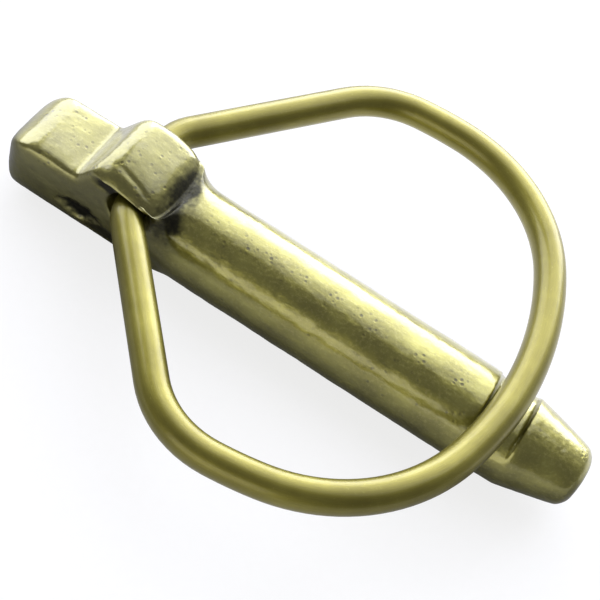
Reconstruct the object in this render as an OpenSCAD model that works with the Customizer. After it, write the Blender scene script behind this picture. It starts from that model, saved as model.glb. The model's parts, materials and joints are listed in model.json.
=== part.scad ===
// Lynch pin: a drop-forged pin with a finger tab, and a bent spring-wire ring
// that swings over the head and snaps into a groove near the tip.
// The origin is on the shank's axis, where the head's shoulder ends and the plain
// shank starts. +X runs along the shank to its tip, the ring swings on an axis
// close to Y, and +Z is the side that the boss and the groove are on.

/* [Shank] */
// Diameter of the shank
shank_d = 10; // [9.6:0.1:11]
// Length from the head's shoulder to the end of the tip
shank_len = 45.5; // [45:0.5:58]
// Length of the tapered tip, with its rounded end
tip_len = 7.4; // [5:0.2:9]
// Length of the land between the groove and the tip
land_len = 0.4; // [0.2:0.1:1.5]
// Diameter of the land
land_d = 9.7; // [9.4:0.05:9.9]
// How far before the groove the shank starts to narrow towards the land
lead_len = 1.3; // [1.2:0.1:3]
// Diameter at the end of the taper
tip_d = 6.6; // [5:0.1:8.5]
// Radius of the rounding round the end of the tip
tip_round = 1.8; // [0.6:0.1:2.4]

/* [Ring groove] */
// Width of the groove along the shank
groove_w = 4.3; // [4:0.1:5]
// Depth of the groove at the top of the shank
groove_depth = 0.8; // [0.5:0.05:1.2]
// Radius that the groove's floor is curved to, across the shank
groove_floor_r = 5.4; // [5.2:0.05:8]
// Gap between the closed ring and the groove's wall on the head's side
groove_back_gap = 0.15; // [0.1:0.05:0.5]

/* [Head] */
// Length of the head from the end of the tab to the shoulder
head_len = 20.5; // [19:0.1:23]
// Width of the head over its flat sides
head_w = 8.8; // [8.4:0.1:9.4]
// Height of the tab's flat top above the shank's axis
tab_top = 3.6; // [2.6:0.1:4.2]
// Distance from the shoulder back to the deepest point of the valley
valley_back = 11.9; // [11.5:0.1:13.5]
// How far the valley dips below the tab's top
valley_dip = 0.3; // [0.2:0.05:0.8]
// Length of the slope from the tab's flat top down to the valley
bank_len = 1.8; // [1:0.1:2.4]
// Slope of the boss's back face
rise_angle = 57; // [50:1:65]
// Height of the boss above the shank's axis
boss_top = 7.2; // [6.5:0.1:8]
// Depth of the bevel along the boss's upper back edge
bevel_drop = 0.6; // [0.3:0.1:1]
// Slope of that bevel
bevel_angle = 25; // [15:1:35]
// Rounding of the boss's front edge
boss_front_r = 1.8; // [0.8:0.1:2]
// Radius of the concave fillet between the boss and the shank
shoulder_r = 2.2; // [1.8:0.1:2.6]
// How far back from its front the boss's two upper front corners are cut off
corner_back = 1.3; // [0.8:0.1:1.8]
// How far outside the fillet's top the cut of those corners starts
corner_out = 0.3; // [0.2:0.05:0.6]
// Length of the neck that the shank narrows along inside the head
neck_len = 2.5; // [1.5:0.1:4]
// Thickness of the lip along each side of the boss
lip_h = 0.9; // [0.7:0.1:1.2]
// How far the lip stands out past the head's flat sides
lip_out = 0.2; // [0.1:0.05:0.4]
// Depth of the lip's middle below the boss's top
lip_down = 0.8; // [0.8:0.1:1.6]
// Radius of the tab's lower end corner
heel_r = 4.2; // [2.5:0.1:4.3]
// Radius of the tab's upper end corner
nose_r = 4.2; // [0.8:0.1:4.3]
// Rounding of the tab's two end corners, seen from above
end_r = 3; // [0.6:0.1:3.4]
// Rounding along the head's upper side edges
edge_r = 0.9; // [0.6:0.1:1.4]
// Rounding along the head's lower side edges
keel_r = 3; // [1.6:0.1:3.4]

/* [Spring ring] */
// Diameter of the spring wire
wire_d = 3.35; // [3:0.05:3.5]
// Half of the ring's width at its widest, on the wire's centre line
ring_half_w = 24.25; // [23:0.05:27]
// Distance from the swing axis to the ring's widest part, along its middle line
ring_widest = 20; // [18.5:0.1:22]
// Bend radius where a leg turns into its hole, on the wire's centre line
hole_bend_r = 4.6; // [3.5:0.1:5.5]
// Bend radius at the ring's shoulders
ring_shoulder_r = 10.25; // [8:0.05:12]
// Radius of the ring's long sides
ring_side_r = 40.5; // [38:0.5:60]
// Angle that a long side turns through
ring_side_angle = 6.7; // [4:0.1:8]
// Radius of the ring's far side, where it crosses the groove
ring_apex_r = 35.2; // [33:0.1:37]
// How far the ring sits off centre, in the sideways play that its hole leaves
ring_side_play = 0.7; // [0:0.1:0.9]

/* [Swing axis] */
// Distance from the shoulder back to the swing axis
pivot_back = 6.3; // [6.2:0.05:7.2]
// Height of the swing axis above the shank's axis
pivot_up = 3.05; // [3:0.05:3.5]
// Angle that the swing axis is turned from square to the shank, seen from above
swing_skew = 9.5; // [4:0.5:12]
// Angle that the ring's middle line is turned from the shank, seen from above
ring_turn = 3.6; // [0:0.1:4]
// Radial clearance of the wire in its hole
hole_clear = 0.08; // [0.02:0.01:0.1]
// Distance from the ring's middle line to where each wire end starts to bend
bend_start = 4.05; // [3.8:0.05:4.4]
// Straight length of each wire end in its hole
stub_len = 3; // [2:0.1:3.2]
// Radius of each hole's flared mouth at the head's side
mouth_r = 2.5; // [2.4:0.05:2.8]
// Depth of each flared mouth
mouth_depth = 1.7; // [1.6:0.1:2]
// Gap between the closed ring and the groove's floor
seat_gap = 0.1; // [0.05:0.05:0.2]

/* [Hidden] */
$fn = 96;
forged_colour = "darkkhaki";
wire_colour = "palegoldenrod";
// How far one shape runs into another, so that no two faces lie on each other, and
// how far a cut runs past what it cuts
overlap = 0.01;
past = 1;
// How much thinner the neck is than the shank, and how far the shoulder's solid
// reaches back into the head
neck_drop = 0.8;
shoulder_root = 0.5;
// Degrees of bend between two stations of the wire, and the flats round the wire
bend_step = 5;
wire_sides = 24;
// How far each straight wire end and the bent wire run into each other, and how
// much smaller the bent wire is, so that its corners stay inside the wire end
stub_lap = 0.3;
tube_shrink = 0.01;

shank_r = shank_d / 2;
wire_r = wire_d / 2;
tube_r = wire_r - tube_shrink;
half_w = head_w / 2;

// Corners of the head's side view, as [x, z]
valley = [-valley_back, tab_top - valley_dip];
tab_edge = [valley.x - bank_len, tab_top];
bevel_foot = valley + (boss_top - bevel_drop - valley.y) * [1 / tan(rise_angle), 1];
boss_back = bevel_foot + bevel_drop * [1 / tan(bevel_angle), 1];
// The boss's rounded front edge runs smoothly into the fillet at the joint
front_r = boss_front_r + shoulder_r;
front_angle = acos((front_r - boss_top + shank_r) / front_r);
joint = [-shoulder_r * sin(front_angle), shank_r + shoulder_r * (1 - cos(front_angle))];

// The closed ring crosses the top of the shank in the groove. It lies in a plane
// that tilts up from the swing axis to there.
pivot = [-pivot_back, 0, pivot_up];
groove_x = shank_len - tip_len - land_len - groove_w;
seat_x = groove_x + groove_back_gap + wire_r;
seat_z = shank_r - groove_depth + seat_gap + wire_r;
// The closed ring's place along and across the swing axis's own directions
seat_u = (seat_x + pivot_back) * cos(swing_skew);
seat_v = -(seat_x + pivot_back) * sin(swing_skew) - ring_side_play;
ring_tilt = atan2(seat_z - pivot_up, seat_u);
// Angle in the ring's plane between the swing axis and square to the middle line
off_square = swing_skew - ring_turn;
along = seat_u / cos(ring_tilt) * cos(off_square) - seat_v * sin(off_square);
across = seat_u / cos(ring_tilt) * sin(off_square) + seat_v * cos(off_square);
// Distance from the swing axis to the far side of the ring, on the wire's centre line
ring_reach = along + ring_apex_r - sqrt(ring_apex_r * ring_apex_r - across * across);
// Corners of the ring's half outline, as [distance along its middle line, distance across]
shoulder_centre = [ring_widest, ring_half_w - ring_shoulder_r];
side_centre = [ring_widest, ring_half_w - ring_side_r];
side_dir = [sin(ring_side_angle), cos(ring_side_angle)];
side_end = side_centre + ring_side_r * side_dir;
apex_centre = [ring_reach - ring_apex_r, 0];
// The corner arc runs smoothly from the long side into the far side
to_side = side_end - apex_centre;
corner_r = (ring_apex_r * ring_apex_r - to_side * to_side) / (2 * (ring_apex_r - to_side * side_dir));
corner_centre = side_end - corner_r * side_dir;
apex_angle = atan2(corner_centre.y, corner_centre.x - apex_centre.x);

// What a rounding of radius r takes from, or adds to, the corner k between edges to a and b
module corner(a, k, b, r) {
    u = (a - k) / norm(a - k);
    v = (b - k) / norm(b - k);
    middle = (u + v) / norm(u + v);
    half = acos(u * v) / 2;
    reach = r / tan(half);
    difference() {
        polygon([k - overlap * middle, k + reach * u, k + reach * v]);
        translate(k + middle * r / sin(half)) circle(r);
    }
}

// Makes an outline seen from the side, as [x, z], solid across the head
module along_y(w) {
    rotate([90, 0, 0]) linear_extrude(w, center = true) children();
}

// Makes an outline seen from the tip, as [y, z], solid along the shank
module along_x(from, to) {
    translate([from, 0, 0]) rotate([90, 0, 90]) linear_extrude(to - from) children();
}

// Turns a profile, as [distance from the axis, -x], about the shank's axis
module turned() {
    rotate([0, -90, 0]) mirror([0, 0, 1]) rotate_extrude() children();
}

// Side view of the head, with its top left open for the rounded slabs to shape
module head_side() {
    heel = [-head_len, -shank_r];
    nose = [-head_len, tab_top];
    front_dir = [-1 / tan(front_angle), 1];
    top = boss_top + past;
    difference() {
        polygon([heel, [-head_len, top], joint + (top - joint.y) * front_dir, joint,
            [joint.x, -shank_r]]);
        corner(nose, heel, [joint.x, -shank_r], heel_r);
        corner(heel, nose, tab_edge, nose_r);
        corner(boss_back, joint + (boss_top - joint.y) * front_dir, joint, boss_front_r);
    }
}

// Everything below the line from a to b in the side view, as wide as the head, with
// rounded upper side edges
module slab(a, b) {
    reach = 2 * head_len;
    translate([a.x, 0, a.y]) rotate([0, -atan2(b.y - a.y, b.x - a.x), 0])
        along_x(-reach, reach) difference() {
            translate([-half_w, -reach]) square([head_w, reach]);
            for (m = [0, 1]) mirror([m, 0])
                corner([0, 0], [half_w, 0], [half_w, -reach], edge_r);
        }
}

// Rounding along the head's lower side edges and the upright corners of the tab's end
module side_roundings() {
    for (m = [0, 1]) mirror([0, m, 0]) {
        along_x(-head_len - past, past)
            corner([0, -shank_r], [half_w, -shank_r], [half_w, 0], keel_r);
        translate([0, 0, -shank_d]) linear_extrude(2 * shank_d)
            corner([0, half_w], [-head_len, half_w], [-head_len, 0], end_r);
    }
}

// What is cut off the boss's two upper front corners, round the shank's axis
module front_corners() {
    start_r = joint.y + corner_out;
    corner_r = norm([half_w, boss_top]);
    turned() polygon([[start_r, joint.x + overlap], [corner_r, joint.x - corner_back],
        [corner_r, joint.x + overlap]]);
}

// Half-round lip along each side of the boss
module lip() {
    r = lip_h / 2;
    back = valley.x + (boss_top - lip_down - valley.y) / tan(rise_angle) + r;
    length = joint.x - corner_back - back;
    for (m = [0, 1]) mirror([0, m, 0])
        translate([back, half_w + lip_out - r, boss_top - lip_down]) rotate([0, 90, 0])
            rotate_extrude() difference() {
                square([r, length]);
                corner([0, 0], [r, 0], [r, length], r - overlap);
                corner([0, length], [r, length], [r, 0], r - overlap);
            }
}

// Head with its tab, valley and boss
module head() {
    difference() {
        intersection() {
            along_y(head_w + past) head_side();
            union() {
                difference() {
                    slab([-head_len, tab_top], tab_edge);
                    along_y(head_w + past) polygon([tab_edge, valley, [joint.x, valley.y],
                        [joint.x, tab_top + past], [tab_edge.x, tab_top + past]]);
                }
                intersection() {
                    slab(valley, bevel_foot);
                    slab(bevel_foot, boss_back);
                    slab(boss_back, [0, boss_top]);
                }
            }
        }
        side_roundings();
        front_corners();
    }
    lip();
}

// Concave fillet that flares from the shank up to the boss
module shoulder() {
    root = joint.x - shoulder_root;
    intersection() {
        turned() difference() {
            translate([0, root]) square([joint.y, -root]);
            translate([shank_r + shoulder_r, 0]) circle(shoulder_r);
        }
        along_x(root, 0) difference() {
            translate([-half_w, -shank_r]) square([head_w, 2 * shank_d]);
            for (m = [0, 1]) mirror([m, 0])
                corner([0, -shank_r], [half_w, -shank_r], [half_w, 0], keel_r);
        }
    }
}

// Round shank with its tapered tip and the neck inside the head
module shank() {
    neck = [shank_r - neck_drop, joint.x - neck_len];
    lead = [shank_r, groove_x - lead_len];
    land = [land_d / 2, shank_len - tip_len];
    tip = [tip_d / 2, shank_len];
    turned() difference() {
        polygon([[0, neck.y], neck, [shank_r, 0], lead, land, tip, [0, shank_len]]);
        corner(land, tip, [0, shank_len], tip_round);
    }
}

// What is cut across the top of the shank for the ring to snap into
module groove() {
    floor_z = shank_r - groove_depth - groove_floor_r;
    difference() {
        translate([groove_x, -shank_d, 0]) cube([groove_w, 2 * shank_d, shank_d]);
        translate([groove_x - past, 0, floor_z]) rotate([0, 90, 0])
            cylinder(h = groove_w + 2 * past, r = groove_floor_r);
    }
}

// Hole across the head for the two wire ends, with a flared mouth at each side
module ring_hole() {
    bore_r = wire_r + hole_clear;
    flare = (mouth_r - bore_r) / mouth_depth;
    translate(pivot) rotate([90, 0, swing_skew]) {
        cylinder(h = head_w + 4 * past, r = bore_r, center = true);
        for (m = [0, 1]) mirror([0, 0, m]) translate([0, 0, half_w - mouth_depth])
            cylinder(h = mouth_depth + past, r1 = bore_r, r2 = mouth_r + flare * past);
    }
}

module pin_body() {
    color(forged_colour) difference() {
        union() {
            head();
            shoulder();
            shank();
        }
        groove();
        ring_hole();
    }
}

// Stations along an arc in the ring's plane, each [along, across, angle of the bend's radius].
// The last station is left out, because the next arc starts there.
function arc_stations(centre, r, from, to) =
    let (n = ceil((from - to) / bend_step))
    [for (i = [0:n - 1]) let (a = from + (to - from) * i / n)
        [centre.x + r * cos(a), centre.y + r * sin(a), a]];

// Stations from the wire's end in the head to the middle of the ring's far side, where
// the wire end leans towards the far side by the given angle
function half_stations(lean) =
    let (end_dir = [sin(lean), cos(lean)])
    let (bend = bend_start * end_dir + hole_bend_r * [cos(lean), -sin(lean)])
    let (gap = shoulder_centre - bend)
    let (leg = atan2(gap.y, gap.x) - asin((hole_bend_r - ring_shoulder_r) / norm(gap)))
    let (leg_start = bend + hole_bend_r * [-sin(leg), cos(leg)])
    let (end = (bend_start - 2 * stub_lap) * end_dir)
    concat(
        [[end.x, end.y, 180 - lean]],
        arc_stations(bend, hole_bend_r, 180 - lean, 90 + leg),
        [[leg_start.x, leg_start.y, 90 + leg]],
        arc_stations(shoulder_centre, ring_shoulder_r, 90 + leg, 90),
        arc_stations(side_centre, ring_side_r, 90, 90 - ring_side_angle),
        arc_stations(corner_centre, corner_r, 90 - ring_side_angle, apex_angle),
        arc_stations(apex_centre, ring_apex_r, apex_angle, 0),
        [[ring_reach, 0, 0]]);

// Round wire swept through the stations of the ring's two halves
module bent_wire() {
    half = half_stations(-off_square);
    mirrored = half_stations(off_square);
    other = [for (i = [len(mirrored) - 2:-1:0]) let (s = mirrored[i]) [s.x, -s.y, -s.z]];
    path = concat(half, other);
    ends = len(path) - 1;
    points = [for (s = path) for (i = [0:wire_sides - 1]) let (t = i * 360 / wire_sides)
        [s.x + tube_r * cos(t) * cos(s.z), s.y + tube_r * cos(t) * sin(s.z), tube_r * sin(t)]];
    sides = [for (j = [0:ends - 1]) for (i = [0:wire_sides - 1])
        let (k = (i + 1) % wire_sides, a = j * wire_sides, b = a + wire_sides)
        [a + i, b + i, b + k, a + k]];
    start = [for (i = [0:wire_sides - 1]) i];
    finish = [for (i = [wire_sides - 1:-1:0]) ends * wire_sides + i];
    polyhedron(points, concat([start], sides, [finish]));
}

// Straight round end of the wire, which turns in the head's hole
module wire_end() {
    translate([0, bend_start - stub_len, 0]) rotate([-90, 0, 0])
        cylinder(h = stub_len - stub_lap, r = wire_r);
}

module spring_ring() {
    color(wire_colour) translate(pivot) rotate([0, 0, swing_skew])
        translate([0, ring_side_play, 0]) rotate([0, -ring_tilt, 0]) {
            rotate([0, 0, -off_square]) bent_wire();
            for (m = [0, 1]) mirror([0, m, 0]) wire_end();
        }
}

pin_body();
spring_ring();
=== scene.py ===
"""Lynch pin, dressed for its picture: forged pin body, bent wire ring, floor, light and camera."""
import json
import math

import bmesh
import bpy
import numpy as np
from mathutils import Matrix, Vector, noise


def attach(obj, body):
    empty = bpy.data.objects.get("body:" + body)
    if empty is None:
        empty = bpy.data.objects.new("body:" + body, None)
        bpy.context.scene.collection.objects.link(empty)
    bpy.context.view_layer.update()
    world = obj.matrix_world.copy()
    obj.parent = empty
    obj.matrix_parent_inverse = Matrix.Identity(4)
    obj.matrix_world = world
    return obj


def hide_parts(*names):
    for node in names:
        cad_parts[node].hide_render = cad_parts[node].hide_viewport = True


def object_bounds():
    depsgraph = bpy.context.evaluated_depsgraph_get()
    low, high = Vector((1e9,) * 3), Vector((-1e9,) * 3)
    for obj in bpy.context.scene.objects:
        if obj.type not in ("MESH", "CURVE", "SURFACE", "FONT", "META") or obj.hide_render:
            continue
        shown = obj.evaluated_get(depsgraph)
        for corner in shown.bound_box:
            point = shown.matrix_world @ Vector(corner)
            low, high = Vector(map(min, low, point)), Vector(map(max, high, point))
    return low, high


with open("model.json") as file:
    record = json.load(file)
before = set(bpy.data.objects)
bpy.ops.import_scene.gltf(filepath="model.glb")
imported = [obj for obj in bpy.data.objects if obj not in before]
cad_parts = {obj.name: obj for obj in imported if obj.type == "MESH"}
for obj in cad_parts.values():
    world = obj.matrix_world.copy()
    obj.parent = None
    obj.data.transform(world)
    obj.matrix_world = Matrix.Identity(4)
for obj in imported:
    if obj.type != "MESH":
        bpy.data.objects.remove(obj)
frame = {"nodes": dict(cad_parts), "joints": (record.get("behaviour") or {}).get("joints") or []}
cad_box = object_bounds()

MM = 0.001
scene = bpy.context.scene
nodes = frame["nodes"]
joint = frame["joints"][0]

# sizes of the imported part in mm. X is 0 at the head's shoulder and runs along the shank to the
# end of its tip, which is as far as the part reaches; below, it reaches to the shank's underside
SHANK_R = -cad_box[0].z / MM
SHANK_LEN = cad_box[1].x / MM
TIP_LEN = 7.4
LAND_LEN = 0.4
GROOVE_W = 4.3
GROOVE_DEPTH = 0.8
GROOVE_END = SHANK_LEN - TIP_LEN - LAND_LEN
GROOVE_START = GROOVE_END - GROOVE_W


# ---------------------------------------------------------------- node helpers
class Nodes:
    """Small helper that adds, sets and links the nodes of one material or world."""

    def __init__(self, tree):
        self.tree = tree

    def add(self, kind, **settings):
        node = self.tree.nodes.new(kind)
        for name, value in settings.items():
            setattr(node, name, value)
        return node

    def put(self, value, socket):
        """Link the socket to another one, or set it to a plain value."""
        if isinstance(value, bpy.types.NodeSocket):
            self.tree.links.new(value, socket)
        else:
            socket.default_value = value

    def fill(self, node, inputs):
        """Put each value into the node's input of that name."""
        for name, value in inputs.items():
            self.put(value, node.inputs[name])
        return node

    def texture_space(self, kind):
        return self.add("ShaderNodeTexCoord").outputs[kind]

    def split(self, vector):
        """The sockets X, Y and Z of a vector."""
        return self.fill(self.add("ShaderNodeSeparateXYZ"), {"Vector": vector}).outputs

    def stretch(self, vector, x, y, z):
        mapping = self.add("ShaderNodeMapping")
        return self.fill(mapping, {"Vector": vector, "Scale": (x, y, z)}).outputs["Vector"]

    def attribute(self, name):
        return self.add("ShaderNodeAttribute", attribute_name=name).outputs["Fac"]

    def noise(self, vector, scale, detail, rough):
        inputs = {"Vector": vector, "Scale": scale, "Detail": detail, "Roughness": rough}
        return self.fill(self.add("ShaderNodeTexNoise"), inputs).outputs["Fac"]

    def remap(self, value, low, high, to_low, to_high):
        """The value, moved from the range low..high to to_low..to_high and kept inside it."""
        inputs = {
            "Value": value, "From Min": low, "From Max": high, "To Min": to_low, "To Max": to_high
        }
        return self.fill(self.add("ShaderNodeMapRange"), inputs).outputs["Result"]

    def ramp(self, value, *stops):
        """A colour by the value: each stop is a place from 0 to 1 and its colour."""
        node = self.fill(self.add("ShaderNodeValToRGB"), {"Fac": value})
        elements = node.color_ramp.elements
        while len(elements) < len(stops):
            elements.new(0.5)
        for element, (place, colour) in zip(elements, stops):
            element.position = place
            element.color = (*colour, 1.0)
        return node.outputs["Color"]

    def mix(self, factor, tone, colour):
        """The tone with the plain colour laid over it, as far as the factor says."""
        node = self.add("ShaderNodeMix", data_type="RGBA")
        # the colour sockets share their names with the node's unused number and vector sockets
        for value, socket in ((factor, 0), (tone, 6), ((*colour, 1.0), 7)):
            self.put(value, node.inputs[socket])
        return node.outputs[2]

    def maths(self, kind, a, b):
        node = self.add("ShaderNodeMath", operation=kind)
        self.put(a, node.inputs[0])
        self.put(b, node.inputs[1])
        return node.outputs[0]

    def times(self, a, b):
        return self.maths("MULTIPLY", a, b)

    def bump(self, height, strength, deepest):
        node = self.add("ShaderNodeBump")
        self.fill(node, {"Height": height, "Strength": strength, "Distance": deepest * MM})
        return node.outputs["Normal"]


def srgb(r, g, b):
    """An sRGB colour, as written on paper, in the linear values that a shader takes."""
    out = []
    for c in (r / 255, g / 255, b / 255):
        out.append(c / 12.92 if c <= 0.04045 else ((c + 0.055) / 1.055) ** 2.4)
    return tuple(out)


def grey(v):
    """A grey in linear values."""
    return (v, v, v)


def material(name):
    """A new material, its nodes' helper, its main shader and its output node."""
    mat = bpy.data.materials.new(name)
    mat.use_nodes = True
    mat.node_tree.nodes.clear()
    n = Nodes(mat.node_tree)
    out = n.add("ShaderNodeOutputMaterial")
    bsdf = n.add("ShaderNodeBsdfPrincipled")
    n.put(bsdf.outputs["BSDF"], out.inputs["Surface"])
    return mat, n, bsdf, out


# ------------------------------------------------------------------- materials
def forged_zinc():
    """Yellow-passivated zinc over the grainy skin of a forging."""
    mat, n, bsdf, _ = material("forged_zinc")
    where = n.texture_space("Object")
    # tones: broad blotches, streaks along the shank, fine grain
    broad = n.noise(where, 260, 3, 0.5)
    streak = n.noise(n.stretch(where, 0.16, 1, 1), 900, 4, 0.6)
    grain = n.noise(where, 3200, 5, 0.65)
    tone = n.ramp(
        broad,
        (0.30, srgb(124, 119, 50)),
        (0.52, srgb(142, 137, 60)),
        (0.72, srgb(160, 155, 74)),
    )
    tone = n.mix(n.remap(streak, 0.35, 0.7, 0.0, 0.4), tone, srgb(112, 107, 42))
    tone = n.mix(n.remap(grain, 0.5, 0.72, 0.0, 0.35), tone, srgb(184, 178, 104))
    # the head's tone is a little darker and greyer than the shank's
    on_head = n.remap(n.split(where)["X"], -3 * MM, 1 * MM, 0.42, 0.0)
    tone = n.mix(on_head, tone, srgb(98, 95, 56))
    # pits are painted darker and browner, as shade in them
    cells = n.add("ShaderNodeTexVoronoi", feature="F1")
    n.fill(cells, {"Vector": where, "Scale": 1500, "Randomness": 1.0})
    patches = n.remap(n.noise(where, 420, 2, 0.5), 0.56, 0.66, 0.0, 0.8)
    few = n.maths("MAXIMUM", patches, n.attribute("pitted"))
    pit_and_shade = n.times(n.remap(cells.outputs["Distance"], 0.12, 0.34, 1.0, 0.0), few)
    tone = n.mix(n.times(pit_and_shade, 0.7), tone, srgb(74, 68, 34))
    # painted shade: the hollows and the boss's front are painted nearly black, and their coat is
    # made dull
    painted_shade = n.times(n.attribute("painted_shade_mask"), n.remap(grain, 0.35, 0.6, 1.0, 0.94))
    tone = n.mix(painted_shade, tone, srgb(30, 29, 18))
    # surface: grain, low ripples from the die, pits
    ripple = n.noise(n.stretch(where, 0.5, 1, 1), 1100, 3, 0.5)
    height = n.maths("ADD", n.times(grain, 0.14), n.times(ripple, 0.9))
    height = n.maths("SUBTRACT", height, n.times(pit_and_shade, 0.6))
    n.fill(bsdf, {
        "Base Color": tone,
        "Metallic": 0.88,
        "Roughness": n.remap(grain, 0.3, 0.7, 0.28, 0.40),
        "Coat Weight": n.remap(painted_shade, 0.0, 1.0, 1.0, 0.15),
        "Coat IOR": 1.6,
        "Coat Roughness": 0.18,
        "Normal": n.bump(height, 0.55, 0.12),
    })
    return mat


def drawn_zinc():
    """Yellow-passivated zinc over smooth drawn spring wire, with faint lines along it."""
    mat, n, bsdf, _ = material("drawn_zinc")
    where = n.texture_space("Object")
    lines = n.noise(n.stretch(n.texture_space("UV"), 60, 1400, 1), 1, 4, 0.6)
    broad = n.noise(where, 190, 3, 0.5)
    speck = n.noise(where, 4200, 4, 0.6)
    tone = n.ramp(
        broad,
        (0.32, srgb(110, 103, 34)),
        (0.55, srgb(123, 116, 42)),
        (0.75, srgb(136, 129, 52)),
    )
    tone = n.mix(n.remap(lines, 0.4, 0.7, 0.0, 0.35), tone, srgb(98, 92, 34))
    tone = n.mix(n.remap(speck, 0.6, 0.75, 0.0, 0.3), tone, srgb(160, 152, 78))
    height = n.maths("ADD", n.times(lines, 0.6), n.times(speck, 0.25))
    n.fill(bsdf, {
        "Base Color": tone,
        "Metallic": 0.88,
        "Roughness": n.remap(lines, 0.3, 0.7, 0.40, 0.50),
        "Coat Weight": 0.5,
        "Coat IOR": 1.55,
        "Coat Roughness": 0.2,
        "Normal": n.bump(height, 0.35, 0.04),
    })
    return mat


def floor_paper():
    """Plain white paper that shows nearly white to the camera, and keeps the shadows on it. In
    the metal's reflections it glows with painted light and painted shade.
    """
    mat, n, bsdf, out = material("floor_paper")
    where = n.texture_space("Object")
    fibre = n.noise(where, 900, 3, 0.5)
    n.fill(bsdf, {
        "Base Color": n.ramp(fibre, (0.3, grey(0.86)), (0.7, grey(0.9))),
        "Roughness": 0.9,
        "Specular IOR Level": 0.0,
    })
    # the camera sees the paper nearly white; in the metal's reflections the paper glows with
    # painted light behind the pin and painted shade before it and at its head's end, lifted a
    # little beside the tab
    place = n.split(where)
    fore_and_aft = n.ramp(
        n.remap(place["Y"], -30 * MM, 16 * MM, 0.0, 1.0),
        (0.0, grey(0.55)), (0.37, grey(0.27)), (0.446, grey(0.18)),
        (0.50, grey(0.04)), (0.652, grey(0.08)), (1.0, grey(1.0)),
    )
    beside = n.ramp(
        n.remap(place["X"], -60 * MM, -20 * MM, 0.0, 1.0),
        (0.0, grey(1.0)), (0.45, grey(0.9)), (0.70, grey(0.25)),
        (0.82, grey(0.25)), (1.0, grey(1.0)),
    )
    by_tab = n.times(
        n.remap(place["X"], -21 * MM, -15 * MM, 0.22, 0.0),
        n.remap(place["Y"], -9 * MM, -7 * MM, 1.0, 0.0),
    )
    # painted light behind the pin and painted shade before it
    painted_glow = n.maths("MAXIMUM", n.times(n.times(fore_and_aft, beside), 1.3), by_tab)
    path = n.add("ShaderNodeLightPath").outputs
    camera_ray, glossy_ray = path["Is Camera Ray"], path["Is Glossy Ray"]
    to_others = n.times(painted_glow, n.maths("SUBTRACT", 1.0, camera_ray))
    glow = n.add("ShaderNodeEmission")
    n.fill(glow, {"Color": (1, 1, 1, 1), "Strength": n.maths("MAXIMUM", camera_ray, to_others)})
    share = n.maths("MAXIMUM", n.times(camera_ray, 0.8), n.times(glossy_ray, 0.85))
    both = n.add("ShaderNodeMixShader")
    # its two shader sockets have the same name
    for value, socket in ((share, 0), (bsdf.outputs["BSDF"], 1), (glow.outputs["Emission"], 2)):
        n.put(value, both.inputs[socket])
    n.put(both.outputs["Shader"], out.inputs["Surface"])
    return mat


# ---------------------------------------------------------------- the pin body
# edge in mm of the even mesh's cells, how often it is softened, and the most that a vertex then
# moves towards the middle of its neighbours, as a share of the way
VOXEL = 0.17
PASSES = 44
PULL = 0.5

# hollows left by the forging, sunk in and painted nearly black as shade, and the boss's front,
# which is only painted: centre, half sizes in mm, depth, darkness of the painted shade
HOLLOWS_AND_SHADE = (
    (Vector((-10.7, -4.4, -1.2)), Vector((2.3, 2.0, 1.1)), 0.40, 1.0),
    (Vector((-7.4, -4.4, -2.3)), Vector((2.6, 2.0, 1.0)), 0.12, 0.8),
    (Vector((-8.1, -4.6, 4.7)), Vector((1.9, 1.4, 0.7)), 0.15, 1.0),
    (Vector((-1.6, -3.0, 3.8)), Vector((1.5, 2.4, 2.3)), 0.06, 1.0),
    (Vector((-1.9, 0.2, 5.4)), Vector((1.5, 3.8, 1.9)), 0.0, 1.0),
)
# places where the skin is pitted, on the head and in a row along the top of the shank: centre
# and radius in mm
HEAD_PITS = (
    (Vector((-6.3, 0.6, 7.2)), 1.7),
    (Vector((-7.7, -2.6, 6.8)), 1.1),
    (Vector((-5.1, -3.2, 6.4)), 1.3),
    (Vector((-14.6, 1.8, 3.6)), 1.5),
    (Vector((-15.8, 3.0, 3.5)), 1.0),
    (Vector((-3.4, 3.0, 6.8)), 0.9),
)
SHANK_PITS = tuple(
    (Vector((x, -SHANK_R * math.sin(0.2), SHANK_R * math.cos(0.2))), 1.1)
    for x in (2.5, 6, 8, 12, 15.5, 19, 21, 26, 30)
)
PITTED = HEAD_PITS + SHANK_PITS


def step(value, off, full):
    """0 where the value is at off or beyond it, 1 where it is at full or beyond it, and a smooth
    step between the two. Either of them may be the larger one."""
    x = min(1.0, max(0.0, (value - off) / (full - off)))
    return x * x * (3 - 2 * x)


def from_hole(p):
    """Distance in mm of a point from the axis of the ring's hole."""
    axis = Vector(joint["axis"]).normalized()
    return (p - Vector(joint["pos_m"]) / MM).cross(axis).length


def crown(p):
    """How far the tops of the head's boss and tab fall away from flat, in mm: the boss's towards
    its near side and its front, the tab's towards both sides."""
    over_boss = step(p.x, -11.0, -9.4) * step(p.x, 0.4, -0.6) * step(p.z, 4.9, 6.9)
    near, front = max(0.0, 1.2 - p.y), max(0.0, p.x + 7.6)
    over_tab = step(p.x, -12.2, -14.2) * step(p.z, 1.0, 3.2)
    return over_boss * (0.036 * near ** 2 + 0.062 * front ** 2) + over_tab * 0.008 * p.y ** 2


def softness(p):
    """How much the mesh is softened at a point: much on the head, little by the hole. The plain
    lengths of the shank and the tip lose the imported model's flats, and the groove between them
    and the end of the tip keep their edges."""
    on_head = step(p.x, 0.4, -1.6)
    off_hole = step(from_hole(p), 2.3, 3.8)
    from_groove = max(GROOVE_START - p.x, p.x - GROOVE_END)
    off_edges = step(from_groove, 0.2, 1.1) * step(p.x, SHANK_LEN - 0.9, SHANK_LEN - 1.7)
    return on_head * off_hole + (1 - on_head) * (0.12 + 0.78 * off_edges)


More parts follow.
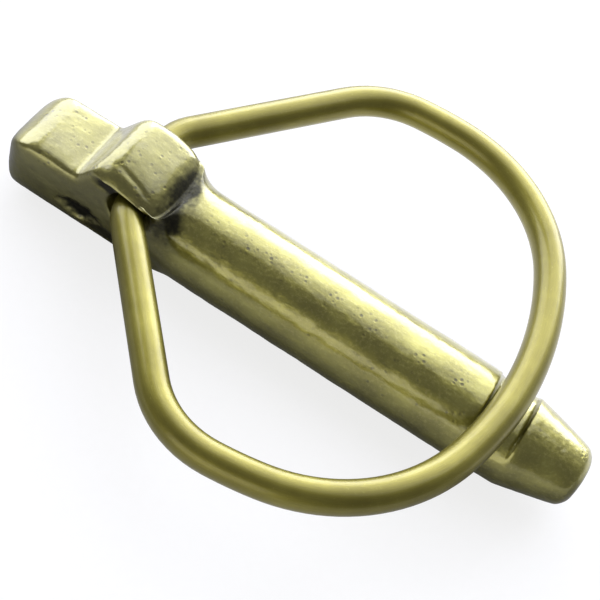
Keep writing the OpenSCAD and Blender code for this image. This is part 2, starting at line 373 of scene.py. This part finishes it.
def relaxed(mesh, weights):
    """The mesh's vertices after they are drawn towards their neighbours, by each one's weight."""
    count = len(mesh.vertices)
    places = np.empty(count * 3)
    mesh.vertices.foreach_get("co", places)
    places = places.reshape(count, 3)
    edges = np.empty(len(mesh.edges) * 2, dtype=np.int64)
    mesh.edges.foreach_get("vertices", edges)
    one, two = edges.reshape(-1, 2).T
    ends, others = np.concatenate((one, two)), np.concatenate((two, one))
    degree = np.bincount(ends, minlength=count)[:, None]
    for _ in range(PASSES):
        total = np.stack(
            [np.bincount(ends, weights=places[others, i], minlength=count) for i in range(3)],
            axis=1,
        )
        places += weights[:, None] * PULL * (total / degree - places)
    return places


def round_shank(places):
    """Makes the plain shank truly round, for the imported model's flats would show in its
    highlight, and wears the tip's end a little slimmer and shorter."""
    x = places[:, 0] / MM
    radius = np.hypot(places[:, 1], places[:, 2])
    plain = np.clip((x - 1.6) / 2.0, 0, 1) * np.clip((GROOVE_START - 0.5 - x) / 0.5, 0, 1)
    places[:, 1:] *= (1 + plain * (SHANK_R * MM / np.maximum(radius, MM) - 1))[:, None]
    slimmer = 0.06 * np.clip((x - GROOVE_END - 0.2) / 7, 0, 1) ** 1.5
    shorter = 0.3 * np.clip((x - SHANK_LEN + 4.5) / 4, 0, 1) ** 2
    places[:, 1:] *= (1 - slimmer)[:, None]
    places[:, 0] -= shorter * MM


def skin_at(p):
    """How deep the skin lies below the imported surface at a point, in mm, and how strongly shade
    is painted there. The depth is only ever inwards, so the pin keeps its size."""
    swell = noise.noise(p * 0.35) * 0.5 + 0.5
    dents = noise.noise(p * 1.1 + Vector((7, 3, 1))) * 0.5 + 0.5
    grain = noise.noise(p * 3.1 + Vector((2, 9, 4))) * 0.5 + 0.5
    depth = 0.06 * swell + 0.035 * dents * dents + 0.02 * grain
    dark = 0.0
    for centre, half, deepest, shade in HOLLOWS_AND_SHADE:
        q = p - centre
        away = Vector((q.x / half.x, q.y / half.y, q.z / half.z)).length
        away += 0.5 * (dents - 0.5) + 0.35 * (grain - 0.5)
        inside = step(away, 1.25, 0.5)
        depth += deepest * inside
        # how strongly shade is painted in the hollow
        dark = max(dark, shade * inside)
    # a shallow seam along the boss sets off a bead on its near edge
    off_seam = abs(p.y + 2.6 + 0.24 * (p.x + 8.0)) / 0.26
    on_boss = step(p.x, -9.2, -8.2) * step(p.x, -2.8, -3.6) * step(p.z, 5.2, 5.7)
    depth += 0.07 * on_boss * math.exp(-off_seam * off_seam) * (0.5 + dents)
    # the hole's wall stays as it is, for the wire turns in it
    return depth * step(from_hole(p), 2.2, 3.4), dark


def pitted_at(p):
    """How pitted the skin is at a point, from 0 to 1."""
    return max(step((p - centre).length / r, 1.4, 0.4) for centre, r in PITTED)


def pin_body(mat):
    """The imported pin, with the soft edges and the uneven skin of a forging."""
    obj = bpy.data.objects.new("forged_pin", nodes["pin_body"].data.copy())
    scene.collection.objects.link(obj)
    obj.data.materials.clear()
    remesh = obj.modifiers.new("even", "REMESH")
    remesh.mode = "VOXEL"
    remesh.voxel_size = VOXEL * MM
    bpy.context.view_layer.update()
    evaluated = obj.evaluated_get(bpy.context.evaluated_depsgraph_get())
    mesh = bpy.data.meshes.new_from_object(evaluated)
    obj.modifiers.clear()
    obj.data = mesh
    weights = []
    for v in mesh.vertices:
        p = v.co / MM
        v.co.z -= crown(p) * MM
        weights.append(softness(p))
    places = relaxed(mesh, np.array(weights))
    round_shank(places)
    mesh.vertices.foreach_set("co", places.ravel())
    mesh.update()
    darks, pits, moved = [], [], []
    for v in mesh.vertices:
        p = v.co / MM
        depth, dark = skin_at(p)
        darks.append(dark)
        pits.append(pitted_at(p))
        moved.append(v.co - v.normal * (depth * MM))
    mesh.vertices.foreach_set("co", [c for place in moved for c in place])
    # the painted shade and the pitted places are handed to the material as attributes
    for name, values in (("painted_shade_mask", darks), ("pitted", pits)):
        mesh.attributes.new(name, "FLOAT", "POINT").data.foreach_set("value", values)
    mesh.materials.append(mat)
    mesh.polygons.foreach_set("use_smooth", [True] * len(mesh.polygons))
    mesh.update()
    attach(obj, "pin")
    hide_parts("pin_body")


# --------------------------------------------------------------- the wire ring
WIRE_SIDES = 40
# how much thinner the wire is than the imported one, so that it stays inside it, in mm
WIRE_SHY = 0.03
# length in mm that one unit of the wire's UV stands for
UV_UNIT = 100


def ring_path():
    """The ring's centre line, its place and its wire's radius. The line is in the ring's own
    plane, in mm, and each of its points comes with the angle that it faces outwards at."""
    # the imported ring's sizes, by the names that they have in its source
    wire_r, half_w, widest, hole_r, shoulder_r = 1.675, 24.25, 20.0, 4.6, 10.25
    side_r, side_turn, apex_r, play = 40.5, math.radians(6.7), 35.2, 0.7
    bend_start, stub, turn = 4.05, 3.0, math.radians(3.6)
    back_gap, seat_gap = 0.15, 0.1
    arc_step, leg_steps = 0.9, 16
    quarter = math.pi / 2
    pivot = Vector(joint["pos_m"]) / MM
    skew = math.asin(joint["axis"][0])
    off_square = skew - turn
    # where the closed ring lies in the groove gives its tilt and its length
    seat_x = GROOVE_START + back_gap + wire_r
    seat_z = SHANK_R - GROOVE_DEPTH + seat_gap + wire_r
    seat_u = (seat_x - pivot.x) * math.cos(skew)
    seat_v = -(seat_x - pivot.x) * math.sin(skew) - play
    tilt = math.atan2(seat_z - pivot.z, seat_u)
    flat_u = seat_u / math.cos(tilt)
    along = flat_u * math.cos(off_square) - seat_v * math.sin(off_square)
    across = flat_u * math.sin(off_square) + seat_v * math.cos(off_square)
    reach = along + apex_r - math.sqrt(apex_r ** 2 - across ** 2)
    # the ring's far half is arcs that meet without a kink
    shoulder_c = Vector((widest, half_w - shoulder_r))
    side_c = Vector((widest, half_w - side_r))
    side_dir = Vector((math.sin(side_turn), math.cos(side_turn)))
    side_end = side_c + side_r * side_dir
    apex_c = Vector((reach - apex_r, 0))
    to_side = side_end - apex_c
    corner_r = (apex_r ** 2 - to_side.dot(to_side)) / (2 * (apex_r - to_side.dot(side_dir)))
    corner_c = side_end - corner_r * side_dir
    apex_turn = math.atan2(corner_c.y, corner_c.x - apex_c.x)

    def half(lean):
        """One half, from the wire's end in the head to the middle of the ring's far side."""
        end_dir = Vector((math.sin(lean), math.cos(lean)))
        bend = bend_start * end_dir + hole_r * Vector((math.cos(lean), -math.sin(lean)))
        gap = shoulder_c - bend
        leg = math.atan2(gap.y, gap.x) - math.asin((hole_r - shoulder_r) / gap.length)
        points = [(end_dir * (bend_start - stub), math.pi - lean),
                  (end_dir * (bend_start - stub / 2), math.pi - lean)]

        def arc(centre, r, a, b):
            steps = max(2, math.ceil(abs(a - b) * max(r, 4) / arc_step))
            for i in range(steps):
                t = a + (b - a) * i / steps
                points.append((centre + r * Vector((math.cos(t), math.sin(t))), t))

        arc(bend, hole_r, math.pi - lean, quarter + leg)
        side = Vector((-math.sin(leg), math.cos(leg)))
        start, end = bend + hole_r * side, shoulder_c + shoulder_r * side
        for i in range(leg_steps):
            points.append((start + (end - start) * i / leg_steps, quarter + leg))
        arc(shoulder_c, shoulder_r, quarter + leg, quarter)
        arc(side_c, side_r, quarter, quarter - side_turn)
        arc(corner_c, corner_r, quarter - side_turn, apex_turn)
        arc(apex_c, apex_r, apex_turn, 0)
        return points + [(Vector((reach, 0)), 0.0)]

    other = [(Vector((p.x, -p.y)), -t) for p, t in reversed(half(off_square)[:-1])]
    place = (
        Matrix.Translation(pivot)
        @ Matrix.Rotation(skew, 4, "Z")
        @ Matrix.Translation((0, play, 0))
        @ Matrix.Rotation(-tilt, 4, "Y")
        @ Matrix.Rotation(-off_square, 4, "Z")
    )
    return half(-off_square) + other, place, wire_r - WIRE_SHY


def wire_ring(mat):
    """A round wire swept along the ring's path, with its length and girth as UV."""
    path, place, wire_r = ring_path()
    bm = bmesh.new()
    uv_layer = bm.loops.layers.uv.new("along")
    rings, lengths, total = [], [], 0.0
    for k, (p, t) in enumerate(path):
        if k:
            total += (p - path[k - 1][0]).length
        lengths.append(total)
        out = Vector((math.cos(t), math.sin(t), 0))
        centre = Vector((p.x, p.y, 0))
        ring = []
        for i in range(WIRE_SIDES):
            a = 2 * math.pi * i / WIRE_SIDES
            q = centre + wire_r * (math.cos(a) * out + math.sin(a) * Vector((0, 0, 1)))
            ring.append(bm.verts.new((place @ q) * MM))
        rings.append(ring)
    for k in range(len(rings) - 1):
        for i in range(WIRE_SIDES):
            j = (i + 1) % WIRE_SIDES
            face = bm.faces.new((rings[k][i], rings[k + 1][i], rings[k + 1][j], rings[k][j]))
            face.smooth = True
            for loop, (kk, ii) in zip(face.loops, ((k, i), (k + 1, i), (k + 1, i + 1), (k, i + 1))):
                girth = ii / WIRE_SIDES * wire_r * 2 * math.pi
                loop[uv_layer].uv = (lengths[kk] / UV_UNIT, girth / UV_UNIT)
    bm.faces.new(reversed(rings[0]))
    bm.faces.new(rings[-1])
    bmesh.ops.recalc_face_normals(bm, faces=bm.faces)
    mesh = bpy.data.meshes.new("wire_ring")
    bm.to_mesh(mesh)
    bm.free()
    mesh.materials.append(mat)
    obj = bpy.data.objects.new("wire_ring", mesh)
    scene.collection.objects.link(obj)
    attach(obj, "ring")
    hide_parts("spring_ring")


# ----------------------------------------------------- floor, light and camera
def softbox(name, bearing, low, high, away, width, glow, tint):
    """A soft lamp that stands round the pin and faces it: its bearing and its lower and upper
    edge in degrees, its distance and width in metres, and its brightness seen from the pin."""
    middle, side = math.radians((low + high) / 2), math.radians(bearing)
    place = away * Vector((
        math.sin(side) * math.cos(middle),
        math.cos(side) * math.cos(middle),
        math.sin(middle),
    ))
    tall = 2 * away * math.tan(math.radians(high - low) / 2)
    light = bpy.data.lights.new(name, "AREA")
    light.shape = "RECTANGLE"
    light.size, light.size_y = width, tall
    light.energy = glow * math.pi * width * tall
    light.color = tint
    lamp = bpy.data.objects.new(name, light)
    scene.collection.objects.link(lamp)
    lamp.location = place + Vector((10, 0, 0)) * MM
    lamp.rotation_mode = "QUATERNION"
    lamp.rotation_quaternion = (-place).to_track_quat("-Z", "Y")


def lamps():
    """A cool sweep of lamps from the far side to overhead, one at the left, a warm one in front."""
    cool, warm = (0.82, 0.84, 1.0), (1.0, 0.98, 0.88)
    softbox("key_low", -2, 1, 36, 0.45, 0.54, 7.6, cool)
    softbox("key_high", 0, 36, 60, 0.45, 0.47, 3.0, cool)
    softbox("key_top", 8, 60, 76, 0.45, 0.50, 2.2, cool)
    softbox("key_over", 10, 76, 92, 0.45, 0.46, 1.2, cool)
    softbox("key_left", -60, 6, 44, 0.45, 0.42, 4.8, cool)
    softbox("fill_front", 190, -2, 28, 0.50, 0.45, 1.8, warm)


def tent():
    """The world: a soft tent that is pale on the far side and dim overhead and near by."""
    world = bpy.data.worlds.new("studio")
    scene.world = world
    world.use_nodes = True
    world.node_tree.nodes.clear()
    n = Nodes(world.node_tree)
    tone = n.ramp(
        n.remap(n.split(n.texture_space("Generated"))["Y"], -1.0, 1.0, 0.0, 1.0),
        (0.0, (0.20, 0.20, 0.21)),
        (0.25, (0.24, 0.24, 0.25)),
        (0.55, (0.26, 0.26, 0.27)),
        (0.75, (0.55, 0.56, 0.57)),
        (1.0, (1.0, 1.0, 1.0)),
    )
    back = n.fill(n.add("ShaderNodeBackground"), {"Color": tone, "Strength": 1.0})
    n.put(back.outputs["Background"], n.add("ShaderNodeOutputWorld").inputs["Surface"])


def floor():
    """A sheet of pale paper under the lowest point of the part."""
    bpy.ops.mesh.primitive_plane_add(size=6.0, location=(20 * MM, 0, cad_box[0].z))
    sheet = bpy.context.object
    sheet.name = "floor"
    sheet.data.materials.append(floor_paper())


def camera():
    """The photograph's view: its bearing, height and roll, and how far off it stood."""
    bearing, height, roll = math.radians(8.92), math.radians(54.15), math.radians(25.32)
    look_at = Vector((12.69, 0.24, 0.0)) * MM
    distance = 138.95 * MM
    back = Vector((
        math.sin(bearing) * math.cos(height),
        -math.cos(bearing) * math.cos(height),
        math.sin(height),
    ))
    right = Vector((math.cos(bearing), math.sin(bearing), 0))
    up = back.cross(right)
    turned_right = right * math.cos(roll) + up * math.sin(roll)
    turned_up = up * math.cos(roll) - right * math.sin(roll)
    data = bpy.data.cameras.new("camera")
    data.sensor_width = 36
    data.lens = 84.06
    data.clip_start, data.clip_end = 0.005, 20
    obj = bpy.data.objects.new("camera", data)
    scene.collection.objects.link(obj)
    axes = Matrix((turned_right, turned_up, back)).transposed().to_4x4()
    obj.matrix_world = Matrix.Translation(look_at + back * distance) @ axes
    scene.camera = obj


camera()
pin_body(forged_zinc())
wire_ring(drawn_zinc())
floor()
tent()
lamps()
scene.view_settings.view_transform = "Standard"

bpy.context.view_layer.update()
